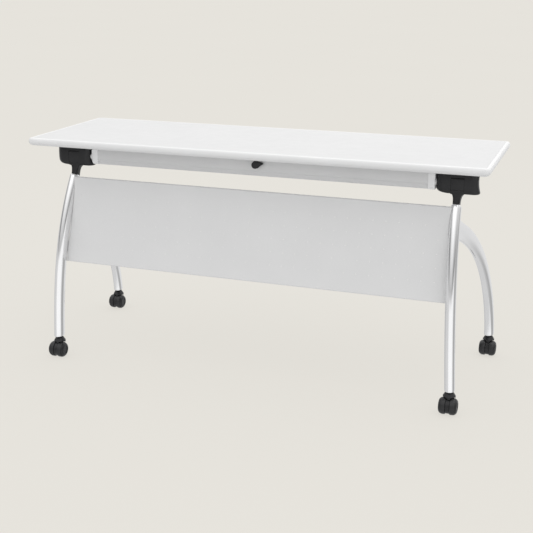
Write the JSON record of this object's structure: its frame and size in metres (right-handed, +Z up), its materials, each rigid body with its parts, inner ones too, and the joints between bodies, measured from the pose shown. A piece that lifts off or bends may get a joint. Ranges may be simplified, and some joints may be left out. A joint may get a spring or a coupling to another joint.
{
  "type": "flip top training table",
  "caption": "Training table whose white laminate top flips about a cross beam, on curved chromed leg frames with casters and a slanted modesty panel.",
  "frame": {"origin": "on the floor, below the middle of the whole table", "axes": "+X along the table, +Y from the modesty panel's side to the sitter's side, +Z up"},
  "size_m": [1.42, 0.5456, 0.712],
  "materials": {
    "laminate": "white melamine on board",
    "edge_plastic": "soft white edge strip",
    "black_plastic": "fine grained black",
    "chrome": "polished",
    "beam_silver": "silver coated extrusion",
    "collar_casting": "light grey coated casting",
    "panel_paint": "light grey powder coat",
    "zinc_steel": "zinc plated",
    "black_rubber": "matte"
  },
  "bodies": {
    "base": {"right_front_leg": "chrome", "left_front_leg": "chrome", "right_rear_leg": "chrome", "left_rear_leg": "chrome", "right_leg_head": "black_plastic", "left_leg_head": "black_plastic", "right_pivot_pin": "zinc_steel", "left_pivot_pin": "zinc_steel", "cross_beam": "beam_silver", "right_beam_collar": "collar_casting", "left_beam_collar": "collar_casting", "right_rest_pad": "black_rubber", "left_rest_pad": "black_rubber", "knob_bezel": "black_plastic", "modesty_panel": "panel_paint", "right_upper_panel_bracket": "zinc_steel", "left_upper_panel_bracket": "zinc_steel", "right_lower_panel_bracket": "zinc_steel", "left_lower_panel_bracket": "zinc_steel", "right_front_foot_socket": "black_plastic", "left_front_foot_socket": "black_plastic", "right_rear_foot_socket": "black_plastic", "left_rear_foot_socket": "black_plastic"},
    "top": {"table_top": "laminate", "edge_band": "edge_plastic", "right_hinge_bracket": "zinc_steel", "left_hinge_bracket": "zinc_steel", "right_lock_plate": "zinc_steel", "left_lock_plate": "zinc_steel", "right_hinge_cover": "black_plastic", "left_hinge_cover": "black_plastic"},
    "knob": {"release_knob": "black_plastic", "crank_disc": "zinc_steel"},
    "right_bolt": {"right_lock_rod": "zinc_steel"},
    "left_bolt": {"left_lock_rod": "zinc_steel"},
    "front_right_caster": {"front_right_caster_hood": "black_plastic", "front_right_caster_stem": "zinc_steel", "front_right_caster_axle": "zinc_steel"},
    "front_right_outer_wheel": {"front_right_right_wheel": "black_rubber"},
    "front_right_inner_wheel": {"front_right_left_wheel": "black_rubber"},
    "front_left_caster": {"front_left_caster_hood": "black_plastic", "front_left_caster_stem": "zinc_steel", "front_left_caster_axle": "zinc_steel"},
    "front_left_inner_wheel": {"front_left_right_wheel": "black_rubber"},
    "front_left_outer_wheel": {"front_left_left_wheel": "black_rubber"},
    "rear_right_caster": {"rear_right_caster_hood": "black_plastic", "rear_right_caster_stem": "zinc_steel", "rear_right_caster_axle": "zinc_steel"},
    "rear_right_outer_wheel": {"rear_right_right_wheel": "black_rubber"},
    "rear_right_inner_wheel": {"rear_right_left_wheel": "black_rubber"},
    "rear_left_caster": {"rear_left_caster_hood": "black_plastic", "rear_left_caster_stem": "zinc_steel", "rear_left_caster_axle": "zinc_steel"},
    "rear_left_inner_wheel": {"rear_left_right_wheel": "black_rubber"},
    "rear_left_outer_wheel": {"rear_left_left_wheel": "black_rubber"}
  },
  "joints": [
    {"name": "top_flip", "type": "hinge", "parent": "base", "child": "top", "pos_m": [0, -0.10542, 0.642], "axis": [1, 0, 0], "range_deg": [0, 75]},
    {"name": "knob_turn", "type": "hinge", "parent": "base", "child": "knob", "pos_m": [0.009, -0.10942, 0.657], "axis": [0, 1, 0], "range_deg": [0, 45]},
    {"name": "right_bolt_slide", "type": "slide", "parent": "base", "child": "right_bolt", "axis": [1, 0, 0], "range_m": [0, 0.00566]},
    {"name": "left_bolt_slide", "type": "slide", "parent": "base", "child": "left_bolt", "axis": [-1, 0, 0], "range_m": [0, 0.0057]},
    {"name": "front_right_swivel", "type": "hinge", "parent": "base", "child": "front_right_caster", "pos_m": [0.6375, -0.23582, 0.0748], "axis": [0, 0, 1], "continuous": true},
    {"name": "front_right_outer_roll", "type": "hinge", "parent": "front_right_caster", "child": "front_right_outer_wheel", "pos_m": [0.6375, -0.24782, 0.02462], "axis": [1, 0, 0], "continuous": true},
    {"name": "front_right_inner_roll", "type": "hinge", "parent": "front_right_caster", "child": "front_right_inner_wheel", "pos_m": [0.6375, -0.24782, 0.02462], "axis": [1, 0, 0], "continuous": true},
    {"name": "front_left_swivel", "type": "hinge", "parent": "base", "child": "front_left_caster", "pos_m": [-0.6375, -0.23582, 0.0748], "axis": [0, 0, 1], "continuous": true},
    {"name": "front_left_inner_roll", "type": "hinge", "parent": "front_left_caster", "child": "front_left_inner_wheel", "pos_m": [-0.6375, -0.24782, 0.02462], "axis": [1, 0, 0], "continuous": true},
    {"name": "front_left_outer_roll", "type": "hinge", "parent": "front_left_caster", "child": "front_left_outer_wheel", "pos_m": [-0.6375, -0.24782, 0.02462], "axis": [1, 0, 0], "continuous": true},
    {"name": "rear_right_swivel", "type": "hinge", "parent": "base", "child": "rear_right_caster", "pos_m": [0.682, 0.25208, 0.0748], "axis": [0, 0, 1], "continuous": true},
    {"name": "rear_right_outer_roll", "type": "hinge", "parent": "rear_right_caster", "child": "rear_right_outer_wheel", "pos_m": [0.682, 0.24008, 0.02462], "axis": [1, 0, 0], "continuous": true},
    {"name": "rear_right_inner_roll", "type": "hinge", "parent": "rear_right_caster", "child": "rear_right_inner_wheel", "pos_m": [0.682, 0.24008, 0.02462], "axis": [1, 0, 0], "continuous": true},
    {"name": "rear_left_swivel", "type": "hinge", "parent": "base", "child": "rear_left_caster", "pos_m": [-0.682, 0.25208, 0.0748], "axis": [0, 0, 1], "continuous": true},
    {"name": "rear_left_inner_roll", "type": "hinge", "parent": "rear_left_caster", "child": "rear_left_inner_wheel", "pos_m": [-0.682, 0.24008, 0.02462], "axis": [1, 0, 0], "continuous": true},
    {"name": "rear_left_outer_roll", "type": "hinge", "parent": "rear_left_caster", "child": "rear_left_outer_wheel", "pos_m": [-0.682, 0.24008, 0.02462], "axis": [1, 0, 0], "continuous": true}
  ],
  "couplings": [
    {"joint": "knob_turn", "follows": "right_bolt_slide", "rad_per_m": 138.84},
    {"joint": "left_bolt_slide", "follows": "right_bolt_slide", "ratio": 1}
  ]
}
